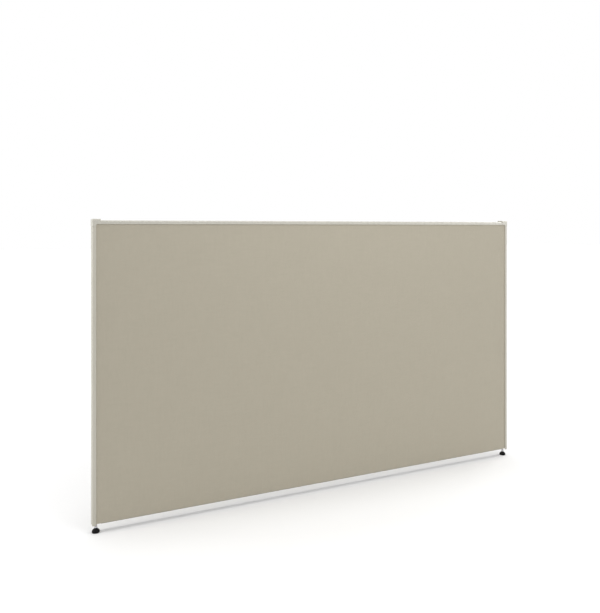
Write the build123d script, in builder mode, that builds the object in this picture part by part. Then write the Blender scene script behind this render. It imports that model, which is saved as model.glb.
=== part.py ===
from build123d import *

import os
from math import ceil, sqrt

# A free-standing office partition panel: a timber frame with honeycomb cores, hardboard skins
# and a fabric cover on each face, a channel trim up both ends and along the top, moulded
# corner caps, and a levelling glide under each end.
#
# Millimetres. X runs along the panel, the front faces -Y and Z = 0 is the floor. The origin is
# under the middle of the panel. Left is the -X end.

# Panel
panel_width = 1829.0  # over the outer faces of the two posts
panel_thickness = 32.0  # over the faces of the posts and the top rail
frame_height = 1034.0  # from the posts' lower ends to the top of the rail

# Channel trim: the posts and the top rail share one section
trim_face = 13.0  # how much of the trim shows on each face
trim_wall = 1.6
trim_corner_radius = 5.0
trim_gap = 0.1  # between the trim and what it grips
lip_width = 1.6

# Covered infill
fabric_thickness = 0.9
board_thickness = 3.0
board_inset = 6.0  # from the trim's outer face to the board's edge
fabric_lift = 4.0  # from the posts' lower ends up to the fabric's lower edge
fabric_turn_under = 5.2  # how far the fabric is turned under at the bottom

# Timber frame
timber_thickness = 19.0
timber_width = 45.0

# Staples, in the timber's joints and under the strip
staple_width = 1.6
staple_thickness = 1.0
staple_fit = 0.05
joint_staple_crown = 14.0
joint_staple_leg = 8.0
strip_staple_crown = 12.0
strip_staple_leg = 14.0
strip_staple_count = 9
strip_staple_edge = 24.5

# Honeycomb cores
core_cell = 160.0  # across flats
core_wall = 1.0
core_gap = 0.3

# Strip under the panel
strip_width = 24.0
strip_thickness = 1.2
strip_end_inset = 30.0  # from the posts' outer faces

# Corner caps
cap_rise = 5.0  # above the top of the rail
cap_proud = 1.0  # beyond the post's outer face
cap_face_proud = 0.5  # beyond the trim's faces
cap_rail_leg = 28.0  # along the rail, from the post's outer face
cap_post_leg = 20.0  # down the post, from the top of the rail
cap_edge_radius = 4.5
cap_inner_radius = 4.0
prong_gap = 0.15
prong_reach = 22.0

# Levelling glides
glide_inset = 14.0  # from the post's outer face to the glide's axis
foot_radius = 13.0
foot_height = 16.0
foot_side_height = 7.0
foot_ring_radius = 5.0
foot_ring_height = 1.5
stem_shown = 12.0  # between the foot and the posts' lower ends
stem_radius = 4.0
stem_reach = 30.0  # above the posts' lower ends
neck_radius = 3.4
head_radius = 5.5
head_height = 3.5
head_floor = 4.0  # from the floor to the underside of the stem's head
running_gap = 0.05
head_play = 0.1
collar_flats = 10.0
collar_height = 4.0
collar_gap = 0.3
glide_retraction = 9.0
stem_end_room = 2.0
insert_radius = 5.5
insert_length = 20.0
insert_fit = 0.05

# Places that follow from the sizes above
half_width = panel_width / 2
half_thickness = panel_thickness / 2
post_foot = foot_height + stem_shown
rail_top = post_foot + frame_height
fabric_bottom = post_foot + fabric_lift

timber_half = timber_thickness / 2
board_inner = timber_half
board_outer = board_inner + board_thickness
fabric_outer = board_outer + fabric_thickness
grip_half = fabric_outer + trim_gap
trim_inner = half_thickness - trim_wall

board_half_width = half_width - board_inset
board_bottom = fabric_bottom + fabric_thickness
board_top = rail_top - board_inset
board_height = board_top - board_bottom

timber_inset = trim_wall + trim_gap
timber_half_width = half_width - timber_inset
timber_top = rail_top - timber_inset
stile_bottom = board_bottom + timber_width
stile_top = timber_top - timber_width
stile_height = stile_top - stile_bottom
end_stile_x = timber_half_width - timber_width / 2

cap_foot = rail_top - cap_post_leg
cap_end = half_width - cap_rail_leg
glide_x = half_width - glide_inset

strip_length = panel_width - 2 * strip_end_inset
strip_bottom = fabric_bottom - strip_thickness
strip_staple_spacing = (strip_length - 2 * strip_staple_edge) / (strip_staple_count - 1)
strip_leg_x = (strip_staple_crown - staple_thickness) / 2
strip_slot_thickness = staple_thickness + 2 * staple_fit
strip_slot_width = staple_width + 2 * staple_fit

stem_top = post_foot + stem_reach
stem_hole_height = stem_top + glide_retraction + stem_end_room - board_bottom


def draw_trim_section(plane):
    """The trim's section, where x is the depth from its outer face and y crosses the panel."""
    with BuildSketch(plane) as section:
        with BuildLine():
            FilletPolyline(
                (0, 0),
                (0, half_thickness),
                (trim_face, half_thickness),
                (trim_face, grip_half),
                (trim_face - lip_width, grip_half),
                (trim_face - lip_width, trim_inner),
                (trim_wall, trim_inner),
                (trim_wall, 0),
                radius=(trim_corner_radius, 0, 0, 0, 0, trim_corner_radius - trim_wall),
            )
            mirror(about=Plane.XZ)
        make_face()
    return section.sketch


# Posts: the trim up each end, from below the fabric to the corner cap
post_plane = Plane(origin=(-half_width, 0, post_foot), x_dir=(1, 0, 0), z_dir=(0, 0, 1))
with BuildPart() as left_post:
    extrude(draw_trim_section(post_plane), amount=cap_foot - post_foot)

with BuildPart() as right_post:
    mirror(left_post.part, about=Plane.YZ)

# Top rail: the same trim laid along the top, between the corner caps
rail_plane = Plane(origin=(-cap_end, 0, rail_top), x_dir=(0, 0, -1), z_dir=(1, 0, 0))
with BuildPart() as top_rail:
    extrude(draw_trim_section(rail_plane), amount=2 * cap_end)

# Corner caps: a moulded shell over the trims' meeting, with prongs that slide inside them
cap_half = half_thickness + cap_face_proud
shoulder_depth = board_inset - fabric_thickness - prong_gap
prong_outer_depth = trim_wall + prong_gap
prong_inner = timber_half + prong_gap
prong_outer = trim_inner - prong_gap
prong_corner_radius = trim_corner_radius - trim_wall - prong_gap


def draw_prongs(plane):
    """The two prongs' section: what lies inside the trim's corners and beside the board."""
    aligned = (Align.MIN, Align.CENTER)
    with BuildSketch(plane) as section:
        with Locations((prong_outer_depth, 0)):
            RectangleRounded(cap_rail_leg, 2 * prong_outer, prong_corner_radius, align=aligned)
            Rectangle(cap_rail_leg, 2 * prong_inner, align=aligned, mode=Mode.SUBTRACT)
        with Locations((shoulder_depth, 0)):
            Rectangle(cap_rail_leg, 2 * prong_outer, align=aligned, mode=Mode.SUBTRACT)
    return section.sketch


post_joint = Plane(origin=(-half_width, 0, cap_foot), x_dir=(1, 0, 0), z_dir=(0, 0, -1))
rail_joint = Plane(origin=(-cap_end, 0, rail_top), x_dir=(0, 0, -1), z_dir=(1, 0, 0))

with BuildPart() as left_corner_cap:
    with BuildSketch(Plane.XZ):
        with BuildLine():
            FilletPolyline(
                (-half_width - cap_proud, rail_top + cap_rise),
                (-cap_end, rail_top + cap_rise),
                (-cap_end, rail_top - trim_face),
                (-half_width + trim_face, rail_top - trim_face),
                (-half_width + trim_face, cap_foot),
                (-half_width - cap_proud, cap_foot),
                radius=(0, 0, 0, cap_inner_radius, 0, 0),
                close=True,
            )
        make_face()
    extrude(amount=cap_half, both=True)
    top_edges = left_corner_cap.faces().sort_by(Axis.Z)[-1].edges()
    end_edges = left_corner_cap.faces().sort_by(Axis.X)[0].edges()
    outer_edges = top_edges.filter_by(Axis.X) + end_edges.filter_by(Axis.Z)
    corner_edge = top_edges.filter_by(Axis.Y).sort_by(Axis.X)[:1]
    fillet(outer_edges + corner_edge, cap_edge_radius)
    for depth, half_opening in ((shoulder_depth, grip_half), (trim_wall, prong_inner)):
        with BuildSketch(Plane.XZ):
            with Locations((-half_width + depth, rail_top - depth)):
                Rectangle(cap_rail_leg, cap_post_leg, align=(Align.MIN, Align.MAX))
        extrude(amount=half_opening, both=True, mode=Mode.SUBTRACT)
    for joint in (post_joint, rail_joint):
        extrude(draw_prongs(joint), amount=prong_reach)

with BuildPart() as right_corner_cap:
    mirror(left_corner_cap.part, about=Plane.YZ)


# Timber frame: the battens run through, the stiles stand between them, and a staple ties
# each joint on each face
def make_joint_staples(fit):
    """The staples across the joints, or the slots that they fill, by the fit all round."""
    aligned = (Align.MIN, Align.CENTER)
    with BuildPart() as staples:
        for stile_x in (-end_stile_x, 0, end_stile_x):
            with BuildSketch(Plane.YZ.offset(stile_x)):
                with Locations((-timber_half, stile_bottom), (-timber_half, stile_top)):
                    Rectangle(joint_staple_leg + fit, joint_staple_crown + 2 * fit, align=aligned)
                    with Locations((staple_thickness + fit, 0)):
                        Rectangle(
                            joint_staple_leg,
                            joint_staple_crown - 2 * staple_thickness - 2 * fit,
                            align=aligned,
                            mode=Mode.SUBTRACT,
                        )
                mirror(about=Plane.YZ)
            extrude(amount=staple_width / 2 + fit, both=True)
    return staples


frame_staples = make_joint_staples(0)
joint_slots = make_joint_staples(staple_fit)

with BuildPart() as bottom_batten:
    with BuildSketch(Plane.XY.offset(board_bottom)):
        Rectangle(2 * timber_half_width, timber_thickness)
    extrude(amount=timber_width)
    with BuildSketch(Plane.XY.offset(board_bottom)):
        with Locations((-glide_x, 0), (glide_x, 0)):
            Circle(insert_radius + insert_fit)
    extrude(amount=stem_hole_height, mode=Mode.SUBTRACT)
    with BuildSketch(Plane.XY.offset(board_bottom)):
        with GridLocations(strip_staple_spacing, 0, strip_staple_count, 1):
            with Locations((-strip_leg_x, 0), (strip_leg_x, 0)):
                Rectangle(strip_slot_thickness, strip_slot_width)
    extrude(amount=strip_staple_leg, mode=Mode.SUBTRACT)
    add(joint_slots.part, mode=Mode.SUBTRACT)

with BuildPart() as top_batten:
    with BuildSketch(Plane.XY.offset(stile_top)):
        Rectangle(2 * timber_half_width, timber_thickness)
    extrude(amount=timber_width)
    add(joint_slots.part, mode=Mode.SUBTRACT)


def make_stile(stile_x):
    """An upright between the battens, slotted for the staples at both ends."""
    with BuildPart() as stile:
        with BuildSketch(Plane.XY.offset(stile_bottom)):
            with Locations((stile_x, 0)):
                Rectangle(timber_width, timber_thickness)
        extrude(amount=stile_height)
        add(joint_slots.part, mode=Mode.SUBTRACT)
    return stile


left_stile = make_stile(-end_stile_x)
centre_stile = make_stile(0)
right_stile = make_stile(end_stile_x)

# Honeycomb cores: one in each bay of the timber frame
bay_width = end_stile_x - timber_width
core_width = bay_width - 2 * core_gap
core_height = stile_height - 2 * core_gap
bay_centre = end_stile_x / 2
core_pitch_x = (core_cell + core_wall) * sqrt(3) / 2
core_pitch_z = core_cell + core_wall
core_columns = ceil(core_width / core_pitch_x) + 1
core_rows = ceil(core_height / core_pitch_z) + 1
bay_middle = (stile_bottom + stile_top) / 2
left_bay = Plane(origin=(-bay_centre, 0, bay_middle), x_dir=(1, 0, 0), z_dir=(0, -1, 0))

with BuildPart() as left_core:
    with BuildSketch(left_bay):
        Rectangle(core_width, core_height)
    extrude(amount=timber_half, both=True)
    with BuildSketch(left_bay):
        with HexLocations(core_pitch_z / 2, core_columns, core_rows):
            RegularPolygon(core_cell / 2, 6, major_radius=False)
        Rectangle(core_width - 2 * core_wall, core_height - 2 * core_wall, mode=Mode.INTERSECT)
    extrude(amount=timber_half, both=True, mode=Mode.SUBTRACT)

with BuildPart() as right_core:
    mirror(left_core.part, about=Plane.YZ)

# Hardboard skins
with BuildPart() as front_board:
    with BuildSketch(Plane.XZ.offset(board_inner)):
        with Locations((0, board_bottom)):
            Rectangle(2 * board_half_width, board_height, align=(Align.CENTER, Align.MIN))
    extrude(amount=board_thickness)

with BuildPart() as rear_board:
    mirror(front_board.part, about=Plane.XZ)

# Fabric: stretched over the board, wrapped round its edges and turned under at the bottom
fabric_half_width = board_half_width + fabric_thickness
with BuildPart() as front_fabric:
    with BuildSketch(Plane.XZ.offset(board_inner)):
        with Locations((0, fabric_bottom)):
            Rectangle(
                2 * fabric_half_width,
                board_height + 2 * fabric_thickness,
                align=(Align.CENTER, Align.MIN),
            )
    extrude(amount=board_thickness + fabric_thickness)
    with BuildSketch(Plane.XZ.offset(board_inner)):
        with Locations((0, board_bottom)):
            Rectangle(2 * board_half_width, board_height, align=(Align.CENTER, Align.MIN))
    extrude(amount=board_thickness, mode=Mode.SUBTRACT)
    with BuildSketch(Plane.XY.offset(fabric_bottom)):
        with Locations((0, -fabric_outer)):
            Rectangle(2 * board_half_width, fabric_turn_under, align=(Align.CENTER, Align.MIN))
    extrude(amount=fabric_thickness)

with BuildPart() as rear_fabric:
    mirror(front_fabric.part, about=Plane.XZ)

# Strip that holds the fabric's turned-under edges, and the staples through it
with BuildPart() as bottom_strip:
    with BuildSketch(Plane.XY.offset(strip_bottom)):
        Rectangle(strip_length, strip_width)
        with GridLocations(strip_staple_spacing, 0, strip_staple_count, 1):
            with Locations((-strip_leg_x, 0), (strip_leg_x, 0)):
                Rectangle(strip_slot_thickness, strip_slot_width, mode=Mode.SUBTRACT)
    extrude(amount=strip_thickness)

with BuildPart() as bottom_strip_staples:
    with BuildSketch(Plane.XZ):
        with Locations((0, strip_bottom - staple_thickness)):
            with GridLocations(strip_staple_spacing, 0, strip_staple_count, 1):
                Rectangle(
                    strip_staple_crown, strip_staple_leg, align=(Align.CENTER, Align.MIN)
                )
                with Locations((0, staple_thickness)):
                    Rectangle(
                        2 * strip_leg_x - staple_thickness,
                        strip_staple_leg,
                        align=(Align.CENTER, Align.MIN),
                        mode=Mode.SUBTRACT,
                    )
    extrude(amount=staple_width / 2, both=True)

# Levelling glides: a threaded insert, a stem that turns in it and a foot, open below, which
# carries the stem's collar on its top and holds the stem's head from above
glide_axis = Axis((-glide_x, 0, 0), (0, 0, 1))
glide_section = Plane(origin=(-glide_x, 0, 0), x_dir=(1, 0, 0), z_dir=(0, -1, 0))
collar_foot = foot_height + collar_gap

with BuildPart() as left_glide_insert:
    with BuildSketch(Plane.XY.offset(board_bottom)):
        with Locations((-glide_x, 0)):
            Circle(insert_radius)
            Circle(stem_radius + running_gap, mode=Mode.SUBTRACT)
    extrude(amount=insert_length)

with BuildPart() as left_glide_stem:
    with BuildSketch(glide_section):
        with BuildLine():
            Polyline(
                (0, head_floor),
                (head_radius, head_floor),
                (head_radius, head_floor + head_height),
                (neck_radius, head_floor + head_height),
                (neck_radius, collar_foot),
                (stem_radius, collar_foot),
                (stem_radius, stem_top),
                (0, stem_top),
                close=True,
            )
        make_face()
    revolve(axis=glide_axis)
    with BuildSketch(Plane.XY.offset(collar_foot)):
        with Locations((-glide_x, 0)):
            RegularPolygon(collar_flats / 2, 6, major_radius=False)
    extrude(amount=collar_height)

with BuildPart() as left_glide_foot:
    with BuildSketch(glide_section):
        with BuildLine():
            Polyline(
                (0, 0),
                (foot_radius, 0),
                (foot_radius, foot_side_height),
                (foot_ring_radius, foot_height - foot_ring_height),
                (foot_ring_radius, foot_height),
                (0, foot_height),
                close=True,
            )
        make_face()
    revolve(axis=glide_axis)
    with BuildSketch():
        with Locations((-glide_x, 0)):
            Circle(head_radius + running_gap)
    extrude(amount=head_floor + head_height + head_play, mode=Mode.SUBTRACT)
    with BuildSketch():
        with Locations((-glide_x, 0)):
            Circle(neck_radius + running_gap)
    extrude(amount=foot_height, mode=Mode.SUBTRACT)

with BuildPart() as right_glide_insert:
    mirror(left_glide_insert.part, about=Plane.YZ)

with BuildPart() as right_glide_stem:
    mirror(left_glide_stem.part, about=Plane.YZ)

with BuildPart() as right_glide_foot:
    mirror(left_glide_foot.part, about=Plane.YZ)

# Write every piece
pieces = {
    "left_post": left_post,
    "right_post": right_post,
    "top_rail": top_rail,
    "left_corner_cap": left_corner_cap,
    "right_corner_cap": right_corner_cap,
    "bottom_batten": bottom_batten,
    "top_batten": top_batten,
    "left_stile": left_stile,
    "centre_stile": centre_stile,
    "right_stile": right_stile,
    "frame_staples": frame_staples,
    "left_core": left_core,
    "right_core": right_core,
    "front_board": front_board,
    "rear_board": rear_board,
    "front_fabric": front_fabric,
    "rear_fabric": rear_fabric,
    "bottom_strip": bottom_strip,
    "bottom_strip_staples": bottom_strip_staples,
    "left_glide_insert": left_glide_insert,
    "right_glide_insert": right_glide_insert,
    "left_glide_stem": left_glide_stem,
    "right_glide_stem": right_glide_stem,
    "left_glide_foot": left_glide_foot,
    "right_glide_foot": right_glide_foot,
}
os.makedirs("parts", exist_ok=True)
for name, piece in pieces.items():
    piece.part.label = name
    export_step(piece.part, f"parts/{name}.step")
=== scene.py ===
"""Looks of a free-standing office partition panel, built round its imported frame. Metres."""

import math

import bpy
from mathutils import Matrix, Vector


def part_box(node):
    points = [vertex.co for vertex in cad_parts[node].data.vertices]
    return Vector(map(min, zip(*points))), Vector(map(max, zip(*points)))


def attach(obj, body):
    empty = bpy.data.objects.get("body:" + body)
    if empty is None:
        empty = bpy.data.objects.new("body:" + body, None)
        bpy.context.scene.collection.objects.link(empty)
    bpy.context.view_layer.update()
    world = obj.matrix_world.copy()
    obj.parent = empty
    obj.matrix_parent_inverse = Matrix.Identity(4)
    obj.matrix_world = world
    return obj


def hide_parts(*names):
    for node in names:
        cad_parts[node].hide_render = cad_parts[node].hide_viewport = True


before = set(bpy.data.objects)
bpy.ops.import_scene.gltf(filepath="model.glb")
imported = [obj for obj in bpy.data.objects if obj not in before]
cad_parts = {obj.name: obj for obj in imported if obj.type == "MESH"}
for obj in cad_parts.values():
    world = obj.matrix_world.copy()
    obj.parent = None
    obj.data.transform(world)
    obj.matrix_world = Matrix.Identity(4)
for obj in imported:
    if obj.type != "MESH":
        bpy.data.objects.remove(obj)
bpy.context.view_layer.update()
scene = bpy.context.scene

MM = 0.001

# Sizes of the fabric covers

YARN_PITCH = 1.6 * MM
BOARD_EDGE_ROUND = 0.7 * MM
BOARD_CLEARANCE = 0.02 * MM
SHEET_COLUMNS = 96
SHEET_ROWS = 56
BEND_STEPS = 6
EDGE_FACING = 0.7

# Sizes of the glides, with heights above the floor and angles in degrees

BELL_BORE = 5.55 * MM
BELL_NECK = 3.45 * MM
BELL_SHELF_HEIGHT = 7.6 * MM
BELL_BASE_ROUND = 0.8 * MM
BELL_SHOULDER_ROUND = 3.5 * MM
BELL_SHOULDER_HEIGHT = 5.6 * MM
BELL_SHOULDER_END = 43
BELL_RING_RADIUS = 5.0 * MM
BELL_RING_ROUND = 0.5 * MM

# Places on the outside of the bell, as (radius, height).
BELL_CONE_TOP = (6.0 * MM, 13.6 * MM)
BELL_STEP = (5.3 * MM, 14.4 * MM)
BELL_RING_BASE = (BELL_RING_RADIUS, 15.0 * MM)

HEAD_RADIUS = 5.5 * MM
HEAD_TOP = 7.5 * MM
HEAD_CHAMFER = 0.5 * MM
STEM_NECK = 3.4 * MM
COLLAR_LOW = 16.3 * MM
COLLAR_HIGH = 20.3 * MM
COLLAR_HALF_FLATS = 5.0 * MM
COLLAR_WIDEST = 5.5 * MM
COLLAR_END = 4.9 * MM
COLLAR_BEVEL = 0.35 * MM
THREAD_PITCH = 1.25 * MM
THREAD_CREST = 3.99 * MM
THREAD_ROOT = 3.4 * MM
THREAD_ROWS_PER_TURN = 8
THREAD_STEPS = 40
ROUND_STEPS = 72

# Floor, world and camera

FLOOR_HALF = 30.0
FLOOR_ROUGHNESS = 0.9

# The floor's glow shows only where the floor is looked at. It grows with the distance from
# the panel's middle, which counts less along the panel than across it.
GLOW_LENGTHENED = 1.8
GLOW_NEAR, GLOW_FAR = 0.35, 2.0
GLOW_LEAST, GLOW_MOST = 0.09, 0.42

# The world's strength as light on the object, and as the background that is looked at.
WORLD_LIGHT = 0.57
WORLD_SEEN = 1.0

CAMERA_PLACE = (-1.2804, -2.3727, 1.0376)
CAMERA_TILT, CAMERA_TURN = 90, -25.913
CAMERA_SENSOR = 36.0
CAMERA_LENS = 39.68
CAMERA_SHIFT = -0.129


# Colours


def rgb(red, green, blue):
    """A colour given as it looks on screen, from 0 to 255, in the renderer's linear values."""
    linear = []
    for level in (red, green, blue):
        share = level / 255
        linear.append(share / 12.92 if share <= 0.04045 else ((share + 0.055) / 1.055) ** 2.4)
    return (*linear, 1.0)


WHITE = (1.0, 1.0, 1.0, 1.0)
FLOOR_PALE = (0.80, 0.80, 0.80, 1.0)
POST_DARK, POST_LIGHT = rgb(193, 189, 176), rgb(197, 193, 181)
# Painted light: the rail's tones are the posts' paint made paler, for the light that the rail and
# caps catch from above.
RAIL_DARK_PAINTED_LIT, RAIL_LIGHT_PAINTED_LIT = rgb(196, 193, 182), rgb(200, 197, 186)
PAINT_WORN = rgb(172, 169, 160)
FABRIC_DARK, FABRIC_LIGHT = rgb(185, 178, 161), rgb(193, 186, 169)
# Painted shade for the hollows between the yarns.
FABRIC_GAP_PAINTED_SHADE = rgb(141, 134, 118)
SOFTWOOD_DARK, SOFTWOOD_LIGHT = rgb(190, 150, 102), rgb(222, 190, 143)
HARDBOARD_DARK, HARDBOARD_LIGHT = rgb(104, 72, 48), rgb(134, 96, 64)
KRAFT_DARK, KRAFT_LIGHT = rgb(158, 124, 84), rgb(190, 156, 112)
GREY_CARD_DARK, GREY_CARD_LIGHT = rgb(122, 118, 110), rgb(142, 138, 130)
WIRE_DULL, WIRE_BRIGHT = rgb(154, 156, 162), rgb(176, 176, 178)
ZINC_DULL, ZINC_BRIGHT = rgb(200, 202, 208), rgb(222, 222, 224)
GLIDE_BLACK, GLIDE_SCUFF = rgb(11, 11, 12), rgb(40, 39, 38)


# Materials

NOISE_RANGE = (0.3, 0.7)
EDGE_SAMPLES = 4


class Nodes:
    """A node tree with short calls for the nodes that are used here."""

    def __init__(self, tree):
        self.tree = tree

    def put(self, value, socket):
        """Link a node's output to the socket, or set the socket to a plain value."""
        if isinstance(value, bpy.types.NodeSocket):
            self.tree.links.new(value, socket)
        else:
            socket.default_value = value

    def add(self, kind, inputs=(), **settings):
        node = self.tree.nodes.new(kind)
        for key, value in settings.items():
            setattr(node, key, value)
        for key, value in dict(inputs).items():
            self.put(value, node.inputs[key])
        return node

    def math(self, operation, *values):
        return self.add("ShaderNodeMath", dict(enumerate(values)), operation=operation).outputs[0]

    def ramp(self, value, low, high, to_low=0.0, to_high=1.0):
        """value, from low to high, taken to the range to_low to to_high."""
        inputs = {
            "Value": value,
            "From Min": low,
            "From Max": high,
            "To Min": to_low,
            "To Max": to_high,
        }
        return self.add("ShaderNodeMapRange", inputs).outputs["Result"]

    def looked_at(self):
        """1 for what is seen, straight, mirrored or through glass, and 0 for what only lights."""
        rays = self.add("ShaderNodeLightPath").outputs
        beyond = self.math("MAXIMUM", rays["Is Glossy Ray"], rays["Is Transmission Ray"])
        return self.math("MAXIMUM", rays["Is Camera Ray"], beyond)


class Shader(Nodes):
    """The node tree of a new material."""

    def __init__(self, name):
        self.material = bpy.data.materials.new(name)
        self.material.use_nodes = True
        super().__init__(self.material.node_tree)
        self.surface = self.tree.nodes["Principled BSDF"]
        self.position = self.add("ShaderNodeTexCoord").outputs["Object"]

    def normal(self):
        return self.add("ShaderNodeNewGeometry").outputs["Normal"]

    def axes(self, vector):
        return self.add("ShaderNodeSeparateXYZ", {"Vector": vector}).outputs

    def vector_math(self, operation, *vectors):
        inputs = dict(enumerate(vectors))
        return self.add("ShaderNodeVectorMath", inputs, operation=operation).outputs["Value"]

    def scaled(self, scale):
        """The object's coordinates, stretched by a scale for each axis."""
        inputs = {"Vector": self.position, "Scale": scale}
        return self.add("ShaderNodeMapping", inputs).outputs["Vector"]

    def noise(self, scale, detail=2.0, roughness=0.5, stretch=(1, 1, 1)):
        """Noise with about as many grains to a metre as its scale times the stretch."""
        inputs = {
            "Vector": self.scaled(stretch),
            "Scale": scale,
            "Detail": detail,
            "Roughness": roughness,
        }
        return self.add("ShaderNodeTexNoise", inputs).outputs["Fac"]

    def evened(self, noise, to_low=0.0, to_high=1.0):
        """A noise's usual range, taken to the range to_low to to_high."""
        return self.ramp(noise, *NOISE_RANGE, to_low, to_high)

    def soft_edge(self, radius):
        """The surface's direction, with its sharp edges rounded."""
        node = self.add("ShaderNodeBevel", {"Radius": radius}, samples=EDGE_SAMPLES)
        return node.outputs["Normal"]

    def choose(self, share, first, second):
        """A number that goes from first to second with the share."""
        inputs = {"Factor": share, 2: first, 3: second}
        return self.add("ShaderNodeMix", inputs, data_type="FLOAT").outputs[0]

    def mix(self, share, first, second):
        """A colour that goes from first to second with the share."""
        node = self.add("ShaderNodeMix", {"Factor": share}, data_type="RGBA")
        colours = [socket for socket in node.inputs if socket.type == "RGBA"]
        for socket, value in zip(colours, (first, second)):
            self.put(value, socket)
        return next(socket for socket in node.outputs if socket.type == "RGBA")

    def bump(self, height, distance, strength, normal=None):
        inputs = {"Height": height, "Distance": distance, "Strength": strength}
        if normal is not None:
            inputs["Normal"] = normal
        return self.add("ShaderNodeBump", inputs).outputs["Normal"]

    def finish(self, colour, roughness, **others):
        """Set the surface's inputs, with _ for each space in their names."""
        others.update(Base_Color=colour, Roughness=roughness)
        for name, value in others.items():
            self.put(value, self.surface.inputs[name.replace("_", " ")])
        return self.material


def painted_trim(name, dark, light, roughness=(0.40, 0.50)):
    """Powder coat: fine orange peel, faint cloudiness, a little dust-grey wear along edges."""
    look = Shader(name)
    edge = look.soft_edge(1.2 * MM)
    turn = look.vector_math("DOT_PRODUCT", edge, look.normal())
    rubbed = look.ramp(turn, low=0.995, high=0.93)
    patches = look.noise(scale=140.0, detail=4.0, roughness=0.7)
    worn = look.math("MULTIPLY", rubbed, look.ramp(patches, low=0.45, high=0.65, to_high=0.35))
    cloud = look.noise(scale=6.0, detail=3.0)
    gloss = look.noise(scale=60.0, detail=3.0)
    peel = look.noise(scale=900.0, roughness=0.6)
    return look.finish(
        look.mix(worn, look.mix(look.evened(cloud), dark, light), PAINT_WORN),
        look.evened(gloss, *roughness),
        Normal=look.bump(peel, distance=0.06 * MM, strength=0.6, normal=edge),
    )


def moulded_cap_painted_lit():
    """Moulded plastic in the rail's paler tones, which are painted light from above: a fine spark
    texture and softened edges.
    """
    look = Shader("moulded_cap_painted_lit")
    cloud = look.noise(scale=30.0, detail=3.0)
    gloss = look.noise(scale=400.0)
    spark = look.noise(scale=2600.0, roughness=0.7)
    edge = look.soft_edge(0.8 * MM)
    return look.finish(
        look.mix(look.evened(cloud), RAIL_DARK_PAINTED_LIT, RAIL_LIGHT_PAINTED_LIT),
        look.evened(gloss, 0.28, 0.36),
        Normal=look.bump(spark, distance=0.04 * MM, strength=0.6, normal=edge),
    )


def yarn_crown(look, half_turn):
    """The height across a yarn: a broad crown between two narrow gaps."""
    gap_narrowing, crown_broadening = 3.0, 0.6
    valley = look.math("ABSOLUTE", look.math("COSINE", half_turn))
    level = look.math("SUBTRACT", 1.0, look.math("POWER", valley, gap_narrowing))
    return look.math("POWER", level, crown_broadening)


def woven_fabric():
    """Plain weave of slubbed yarns, with heathered yarn colours, a soft nap and painted shade in
    the gaps between yarns.
    """
    look = Shader("woven_fabric")
    place = look.axes(look.position)
    facing = look.axes(look.normal())

    def on_sheet(axis):
        """The place along an axis, or the depth on the turned edges that face along it."""
        on_edge = look.math("GREATER_THAN", look.math("ABSOLUTE", facing[axis]), EDGE_FACING)
        on_face = look.math("SUBTRACT", 1.0, on_edge)
        return look.math(
            "ADD",
            look.math("MULTIPLY", place[axis], on_face),
            look.math("MULTIPLY", place["Y"], on_edge),
        )

    slub = look.evened(look.noise(scale=220.0), -0.18, 0.18)
    half_turns = []
    for axis in "XZ":
        turn = look.math("MULTIPLY", on_sheet(axis), 2 * math.pi / YARN_PITCH)
        half_turns.append(look.math("MULTIPLY", look.math("ADD", turn, slub), 0.5))
    warp, weft = half_turns
    over = look.math(
        "MULTIPLY",
        look.math("SINE", look.math("ADD", warp, math.pi / 4)),
        look.math("SINE", look.math("ADD", weft, math.pi / 4)),
    )
    warp_top = look.math("GREATER_THAN", over, 0.0)
    crown = look.choose(warp_top, yarn_crown(look, weft), yarn_crown(look, warp))
    bow = look.ramp(look.math("ABSOLUTE", over), low=0.0, high=0.8, to_low=0.45)
    lift = look.math("MULTIPLY", crown, bow)
    fuzz = look.noise(scale=3500.0, detail=3.0, roughness=0.7)
    fuzz_height = 0.35
    height = look.math("ADD", lift, look.math("MULTIPLY", fuzz, fuzz_height))

    across_yarn, along_yarn = 480.0, 26.0
    warp_grain = (across_yarn, across_yarn, along_yarn)
    weft_grain = (along_yarn, along_yarn, across_yarn)
    warp_tone = look.noise(scale=1.0, roughness=0.6, stretch=warp_grain)
    weft_tone = look.noise(scale=1.0, roughness=0.6, stretch=weft_grain)
    tone = look.ramp(look.choose(warp_top, weft_tone, warp_tone), low=0.28, high=0.72)
    cloud = look.evened(look.noise(scale=9.0, detail=4.0, roughness=0.6), -0.04, 0.04)
    yarn = look.mix(look.math("ADD", tone, cloud), FABRIC_DARK, FABRIC_LIGHT)
    # Painted shade: the colour darkens towards the low places between the yarns.
    gap_painted_shade = look.ramp(lift, low=0.0, high=0.5, to_low=0.45, to_high=0.0)
    return look.finish(
        look.mix(gap_painted_shade, yarn, FABRIC_GAP_PAINTED_SHADE),
        look.evened(fuzz, 0.88, 0.98),
        Normal=look.bump(height, distance=0.22 * MM, strength=0.8),
        Sheen_Weight=0.15,
        Sheen_Roughness=0.5,
        Specular_IOR_Level=0.2,
    )


def planed_wood(name, dark, light, stretch, fine=1.0):
    """Softwood or board: long streaks along the grain, pores and a light planed finish."""
    look = Shader(name)
    streak = look.noise(scale=9.0 * fine, detail=6.0, roughness=0.62, stretch=stretch)
    pores = look.noise(scale=300.0 * fine, detail=3.0, roughness=0.7, stretch=stretch)
    planed = look.mix(look.ramp(streak, low=0.32, high=0.68), dark, light)
    return look.finish(
        look.mix(look.ramp(pores, low=0.62, high=0.75, to_high=0.4), planed, dark),
        look.evened(pores, 0.6, 0.75),
        Normal=look.bump(pores, distance=0.1 * MM, strength=0.5),
    )


def paper_card(name, dark, light):
    """Card: pressed fibres that lie mostly upright."""
    look = Shader(name)
    fibres = look.noise(scale=700.0, detail=5.0, roughness=0.7, stretch=(1.0, 1.0, 0.4))
    return look.finish(
        look.mix(look.evened(fibres), dark, light),
        0.85,
        Normal=look.bump(fibres, distance=0.08 * MM, strength=0.6),
    )


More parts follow.
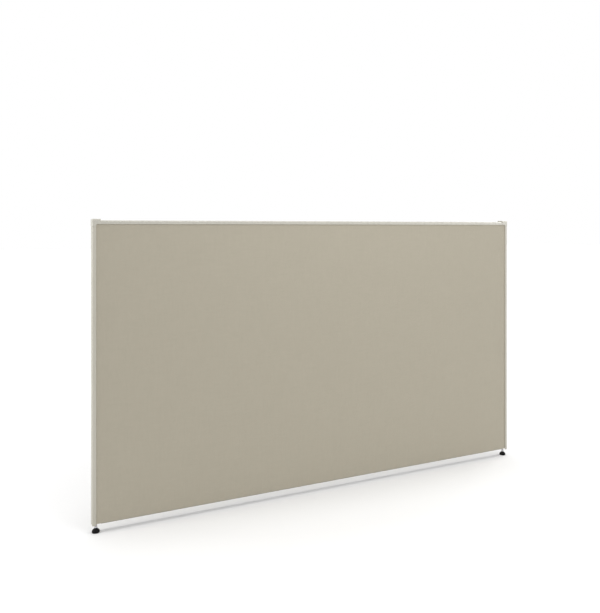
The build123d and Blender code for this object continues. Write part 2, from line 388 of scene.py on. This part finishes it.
def plated_steel(name, dull, bright, grain):
    """Zinc plate or drawn wire: soft blotches and fine lines. grain is about how many lines
    there are to a metre along each axis."""
    look = Shader(name)
    lines = look.noise(scale=1.0, detail=3.0, roughness=0.6, stretch=grain)
    blotch = look.noise(scale=260.0, detail=4.0, roughness=0.6)
    return look.finish(
        look.mix(look.evened(blotch), dull, bright),
        look.ramp(lines, low=0.25, high=0.75, to_low=0.26, to_high=0.42),
        Normal=look.bump(lines, distance=0.02 * MM, strength=0.5),
        Metallic=1.0,
    )


def glide_plastic():
    """Black moulded plastic, matt, with scuffs low down where it meets the floor."""
    look = Shader("glide_plastic")
    low_down = look.ramp(look.axes(look.position)["Z"], low=6 * MM, high=0.0)
    scratches = look.noise(scale=500.0, detail=5.0, roughness=0.7)
    scuff = look.math("MULTIPLY", low_down, look.ramp(scratches, low=0.48, high=0.7, to_high=0.7))
    grain = look.noise(scale=1800.0, roughness=0.6)
    return look.finish(
        look.mix(scuff, GLIDE_BLACK, GLIDE_SCUFF),
        look.evened(grain, 0.46, 0.6),
        Normal=look.bump(grain, distance=0.05 * MM, strength=0.6),
        Specular_IOR_Level=0.14,
    )


def floor_paint():
    """A pale floor with a glow where it is looked at, so that it is white away from the panel."""
    look = Shader("floor")
    away = look.vector_math("LENGTH", look.scaled((1 / GLOW_LENGTHENED, 1.0, 1.0)))
    glow = look.ramp(away, GLOW_NEAR, GLOW_FAR, GLOW_LEAST, GLOW_MOST)
    return look.finish(
        FLOOR_PALE,
        FLOOR_ROUGHNESS,
        Specular_IOR_Level=0.1,
        Emission_Color=WHITE,
        Emission_Strength=look.math("MULTIPLY", look.looked_at(), glow),
    )


GRAIN_UPRIGHT = (1.0, 1.0, 0.06)
GRAIN_ACROSS = (0.06, 1.0, 1.0)
GRAIN_NONE = (1.0, 1.0, 1.0)

post_paint = painted_trim("post_paint", POST_DARK, POST_LIGHT)
# Painted light: the rail takes a paler, lit copy of the post paint.
rail_paint_painted_lit = painted_trim("rail_paint_painted_lit", RAIL_DARK_PAINTED_LIT, RAIL_LIGHT_PAINTED_LIT, (0.24, 0.32))
cap = moulded_cap_painted_lit()
fabric = woven_fabric()
timber_up = planed_wood("softwood_upright", SOFTWOOD_DARK, SOFTWOOD_LIGHT, GRAIN_UPRIGHT)
timber_across = planed_wood("softwood_across", SOFTWOOD_DARK, SOFTWOOD_LIGHT, GRAIN_ACROSS)
hardboard = planed_wood("hardboard", HARDBOARD_DARK, HARDBOARD_LIGHT, GRAIN_NONE, fine=4.0)
core = paper_card("core_card", KRAFT_DARK, KRAFT_LIGHT)
strip = paper_card("strip_card", GREY_CARD_DARK, GREY_CARD_LIGHT)
wire = plated_steel("staple_wire", WIRE_DULL, WIRE_BRIGHT, grain=(20.0, 900.0, 900.0))
zinc = plated_steel("zinc_plate", ZINC_DULL, ZINC_BRIGHT, grain=(60.0, 60.0, 2600.0))
foot_plastic = glide_plastic()

finishes = {
    post_paint: ("left_post", "right_post"),
    rail_paint_painted_lit: ("top_rail",),
    cap: ("left_corner_cap", "right_corner_cap"),
    fabric: ("front_fabric", "rear_fabric"),
    timber_up: ("left_stile", "centre_stile", "right_stile"),
    timber_across: ("bottom_batten", "top_batten"),
    hardboard: ("front_board", "rear_board"),
    core: ("left_core", "right_core"),
    strip: ("bottom_strip",),
    wire: ("frame_staples", "bottom_strip_staples"),
    zinc: ("left_glide_insert", "right_glide_insert", "left_glide_stem", "right_glide_stem"),
    foot_plastic: ("left_glide_foot", "right_glide_foot"),
}
for material, nodes in finishes.items():
    for node in nodes:
        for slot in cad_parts[node].material_slots:
            slot.material = material


# Pieces


def new_piece(name, points, faces, material, smooth=True):
    mesh = bpy.data.meshes.new(name)
    mesh.from_pydata(points, [], faces)
    mesh.validate()
    mesh.materials.append(material)
    for face in mesh.polygons:
        face.use_smooth = smooth
    piece = bpy.data.objects.new(name, mesh)
    scene.collection.objects.link(piece)
    return piece


def arc(centre, radius, start, end, steps):
    """Points of an arc in a flat profile, by angle in degrees."""
    points = []
    for i in range(steps + 1):
        angle = math.radians(start + (end - start) * i / steps)
        points.append((centre[0] + radius * math.cos(angle), centre[1] + radius * math.sin(angle)))
    return points


# Fabric covers: each a thin sheet over its board, round the edges and under it

fabric_low, fabric_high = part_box("front_fabric")
board_low, board_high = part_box("front_board")
face_y = fabric_low.y
cloth = board_low.z - fabric_low.z
span = fabric_high.x - fabric_low.x
tall = fabric_high.z - fabric_low.z
turned_in = board_high.y - face_y
turned_under = fabric_high.y - face_y


def wrap(depth_back, inset):
    """The sheet's section at an edge: along the board's edge, round its corner, onto the face.
    Its points are (how far in from the sheet's outer edge, how far forward), and it lies
    inside the outer surface by the inset."""
    bend = BOARD_EDGE_ROUND + cloth
    return [(inset, -depth_back)] + arc((bend, -bend), bend - inset, 180, 90, BEND_STEPS)


def whole_section(first_edge, last_edge, length, steps):
    """The section from one edge over the face to the other, with the face in equal steps."""
    start, front = first_edge[-1]
    end = length - start
    face = [(start + (end - start) * i / steps, front) for i in range(1, steps)]
    return first_edge + face + [(length - place, depth) for place, depth in reversed(last_edge)]


def grid_quads(wide, high):
    """The quads of a grid whose points run row by row."""
    corners = [j * wide + i for j in range(high - 1) for i in range(wide - 1)]
    return [(k, k + 1, k + wide + 1, k + wide) for k in corners]


def grid_rim(wide, high):
    """The points round the edge of such a grid."""
    bottom = list(range(wide))
    right = [j * wide + wide - 1 for j in range(1, high)]
    top = [(high - 1) * wide + i for i in range(wide - 2, -1, -1)]
    left = [j * wide for j in range(high - 2, 0, -1)]
    return bottom + right + top + left


def fabric_sheet(name, side):
    """The cover of one face. side is -1 for the front and 1 for the rear."""
    points = []
    for inset in (0.0, cloth - BOARD_CLEARANCE):
        edge = wrap(turned_in, inset)
        across = whole_section(edge, edge, span, SHEET_COLUMNS)
        up = whole_section(wrap(turned_under, inset), edge, tall, SHEET_ROWS)
        for z, back_z in up:
            for x, back_x in across:
                # The corner is where the two turned edges meet, so the deeper one holds.
                drop = min(back_x, back_z)
                points.append((fabric_low.x + x, side * (drop - face_y), fabric_low.z + z))
    wide, high = len(across), len(up)
    layer = wide * high
    faces = []
    for quad in grid_quads(wide, high):
        inside = tuple(layer + k for k in reversed(quad))
        faces += [quad, inside] if side < 0 else [quad[::-1], inside[::-1]]
    rim = grid_rim(wide, high)
    for a, b in zip(rim, rim[1:] + rim[:1]):
        quad = (b, a, layer + a, layer + b)
        faces.append(quad if side < 0 else quad[::-1])
    piece = new_piece(name, points, faces, fabric)
    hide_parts(name.replace("cover", "fabric"))
    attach(piece, "panel")


fabric_sheet("front_cover", -1)
fabric_sheet("rear_cover", 1)


# Glides: a bell with rounded shoulders, and a stem with its thread, collar and head


def ring(centre, height, radii):
    """Points round an upright axis at x = centre, one for each radius, in equal turns."""
    points = []
    for i, radius in enumerate(radii):
        angle = 2 * math.pi * i / len(radii)
        points.append((centre + radius * math.cos(angle), radius * math.sin(angle), height))
    return points


def turned(name, profile, centre, material):
    """A solid of revolution from (radius, height) points. A profile that starts on the axis
    ends there too, and any other is closed into a loop."""
    points, rings = [], []
    for radius, height in profile:
        count = ROUND_STEPS if radius else 1
        rings.append([len(points) + i % count for i in range(ROUND_STEPS)])
        if radius:
            points += ring(centre, height, [radius] * ROUND_STEPS)
        else:
            points.append((centre, 0.0, height))
    pairs = list(zip(rings, rings[1:]))
    if profile[0][0]:
        pairs.append((rings[-1], rings[0]))
    faces = []
    for lower, upper in pairs:
        for i in range(ROUND_STEPS):
            j = (i + 1) % ROUND_STEPS
            # On the axis two corners are one point, and the quad becomes a triangle.
            faces.append(tuple(dict.fromkeys((lower[i], lower[j], upper[j], upper[i]))))
    return new_piece(name, points, faces, material)


def stacked(name, levels, centre, material, smooth=True):
    """A closed upright piece from levels of (height, radii all round), lowest first."""
    points, faces = [], []
    for height, radii in levels:
        points += ring(centre, height, radii)
    around = len(levels[0][1])
    top = len(points) - around
    for start in range(0, top, around):
        for i in range(around):
            a, b = start + i, start + (i + 1) % around
            faces.append((a, b, b + around, a + around))
    faces.append(tuple(reversed(range(around))))
    faces.append(tuple(range(top, len(points))))
    return new_piece(name, points, faces, material, smooth)


def glide_foot(side):
    """The bell of a glide, open below, with rounded shoulders and a ring round the stem."""
    low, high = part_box(f"{side}_glide_foot")
    radius = (high.x - low.x) / 2
    shoulder = (radius - BELL_SHOULDER_ROUND, BELL_SHOULDER_HEIGHT)
    profile = [(BELL_BORE, 0.0)]
    profile += arc((radius - BELL_BASE_ROUND, BELL_BASE_ROUND), BELL_BASE_ROUND, -90, 0, steps=5)
    profile += arc(shoulder, BELL_SHOULDER_ROUND, 0, BELL_SHOULDER_END, steps=8)
    profile += [BELL_CONE_TOP, BELL_STEP, BELL_RING_BASE]
    ring_edge = (BELL_RING_RADIUS - BELL_RING_ROUND, high.z - BELL_RING_ROUND)
    profile += arc(ring_edge, BELL_RING_ROUND, 0, 90, steps=4)
    profile += [(BELL_NECK, high.z), (BELL_NECK, BELL_SHELF_HEIGHT), (BELL_BORE, BELL_SHELF_HEIGHT)]
    bell = turned(f"{side}_bell", profile, (low.x + high.x) / 2, foot_plastic)
    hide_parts(f"{side}_glide_foot")
    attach(bell, f"{side}_foot")


def stem_profile(base):
    """The flared head, with bevelled edges, and the plain neck up to the collar."""
    return [
        (0.0, base),
        (HEAD_RADIUS - HEAD_CHAMFER, base),
        (HEAD_RADIUS, base + HEAD_CHAMFER),
        (HEAD_RADIUS, HEAD_TOP - HEAD_CHAMFER),
        (HEAD_RADIUS - HEAD_CHAMFER, HEAD_TOP),
        (STEM_NECK, HEAD_TOP),
        (STEM_NECK, COLLAR_LOW),
        (0.0, COLLAR_LOW),
    ]


def hexagon(limit):
    """Radii all round a hexagon for a spanner, with its corners cut back to a limit."""
    sixth = math.pi / 3
    radii = []
    for i in range(ROUND_STEPS):
        turn = (2 * math.pi * i / ROUND_STEPS + sixth / 2) % sixth - sixth / 2
        radii.append(min(COLLAR_HALF_FLATS / math.cos(turn), limit))
    return radii


def thread_cut(height, end):
    """Radii all round the thread at a height. The flanks rise over a third of the pitch each,
    between a flat root and a flat crest, and the thread runs out to the root at its end."""
    flank_slope, flanks_meet = 3.0, 1.25
    radii = []
    for i in range(THREAD_STEPS):
        phase = (height / THREAD_PITCH - i / THREAD_STEPS) % 1.0
        share = min(1.0, max(0.0, flanks_meet - abs(phase - 0.5) * flank_slope))
        radius = THREAD_ROOT + (THREAD_CREST - THREAD_ROOT) * share
        radii.append(min(radius, THREAD_ROOT + (end - height)))
    return radii


def glide_stem(side):
    """A flared head on a plain neck, a hexagonal collar and an M8 thread."""
    low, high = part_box(f"{side}_glide_stem")
    centre = (low.x + high.x) / 2
    lower = turned(f"{side}_stem_end", stem_profile(low.z), centre, zinc)

    levels = [
        (COLLAR_LOW, hexagon(COLLAR_END)),
        (COLLAR_LOW + COLLAR_BEVEL, hexagon(COLLAR_WIDEST)),
        (COLLAR_HIGH - COLLAR_BEVEL, hexagon(COLLAR_WIDEST)),
        (COLLAR_HIGH, hexagon(COLLAR_END)),
    ]
    collar = stacked(f"{side}_collar", levels, centre, zinc, smooth=False)

    length = high.z - COLLAR_HIGH
    rows = round(length / THREAD_PITCH * THREAD_ROWS_PER_TURN)
    heights = [COLLAR_HIGH + length * k / rows for k in range(rows + 1)]
    levels = [(height, thread_cut(height, high.z)) for height in heights]
    thread = stacked(f"{side}_thread", levels, centre, zinc)

    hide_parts(f"{side}_glide_stem")
    for piece in (lower, collar, thread):
        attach(piece, f"{side}_stem")


for side in ("left", "right"):
    glide_foot(side)
    glide_stem(side)


# Floor, light and camera

corners = [(-1, -1), (1, -1), (1, 1), (-1, 1)]
floor = new_piece(
    "floor",
    [(FLOOR_HALF * x, FLOOR_HALF * y, 0.0) for x, y in corners],
    [(0, 1, 2, 3)],
    floor_paint(),
    smooth=False,
)

world = bpy.data.worlds.new("studio")
scene.world = world
world.use_nodes = True
sky = Nodes(world.node_tree)
background = sky.tree.nodes["Background"].inputs
sky.put(WHITE, background["Color"])
sky.put(sky.ramp(sky.looked_at(), 0.0, 1.0, WORLD_LIGHT, WORLD_SEEN), background["Strength"])


def sun(name, travel, spread, strength):
    """Even light from far away, spread over an angle in degrees. strength is the brightness
    that it gives a white surface."""
    light = bpy.data.lights.new(name, "SUN")
    light.angle = math.radians(spread)
    light.energy = math.pi * strength
    item = bpy.data.objects.new(name, light)
    item.rotation_euler = Vector(travel).to_track_quat("-Z", "Y").to_euler()
    scene.collection.objects.link(item)


def softbox(name, place, aim, size, power):
    """A flat lamp of a width and height, turned from its place to its aim, and hidden from the
    camera. power is in watts."""
    light = bpy.data.lights.new(name, "AREA")
    light.shape = "RECTANGLE"
    light.size, light.size_y = size
    light.energy = power
    item = bpy.data.objects.new(name, light)
    item.location = place
    item.rotation_euler = (Vector(aim) - Vector(place)).to_track_quat("-Z", "Y").to_euler()
    item.visible_camera = False
    scene.collection.objects.link(item)


sun("ceiling", travel=(0.0, 0.0, -1.0), spread=30, strength=0.32)
softbox("end_light", place=(-2.3, 0.05, 1.15), aim=(-0.9, 0.0, 0.85), size=(0.4, 0.7), power=9.0)
softbox("front_light", place=(0.1, -1.2, 2.4), aim=(0.0, 0.0, 0.9), size=(1.2, 0.5), power=11.5)
softbox("side_light", place=(3.2, -2.5, 1.3), aim=(0.8, 0.0, 1.0), size=(1.3, 0.9), power=16.0)
softbox("rail_light", place=(1.8, 0.25, 2.1), aim=(0.7, 0.0, 1.06), size=(0.5, 0.5), power=8.0)

camera = bpy.data.objects.new("camera", bpy.data.cameras.new("camera"))
camera.data.sensor_fit = "AUTO"
camera.data.sensor_width = CAMERA_SENSOR
camera.data.lens = CAMERA_LENS
camera.data.shift_y = CAMERA_SHIFT
camera.location = CAMERA_PLACE
camera.rotation_euler = (math.radians(CAMERA_TILT), 0.0, math.radians(CAMERA_TURN))
scene.collection.objects.link(camera)
scene.camera = camera
scene.view_settings.view_transform = "Standard"
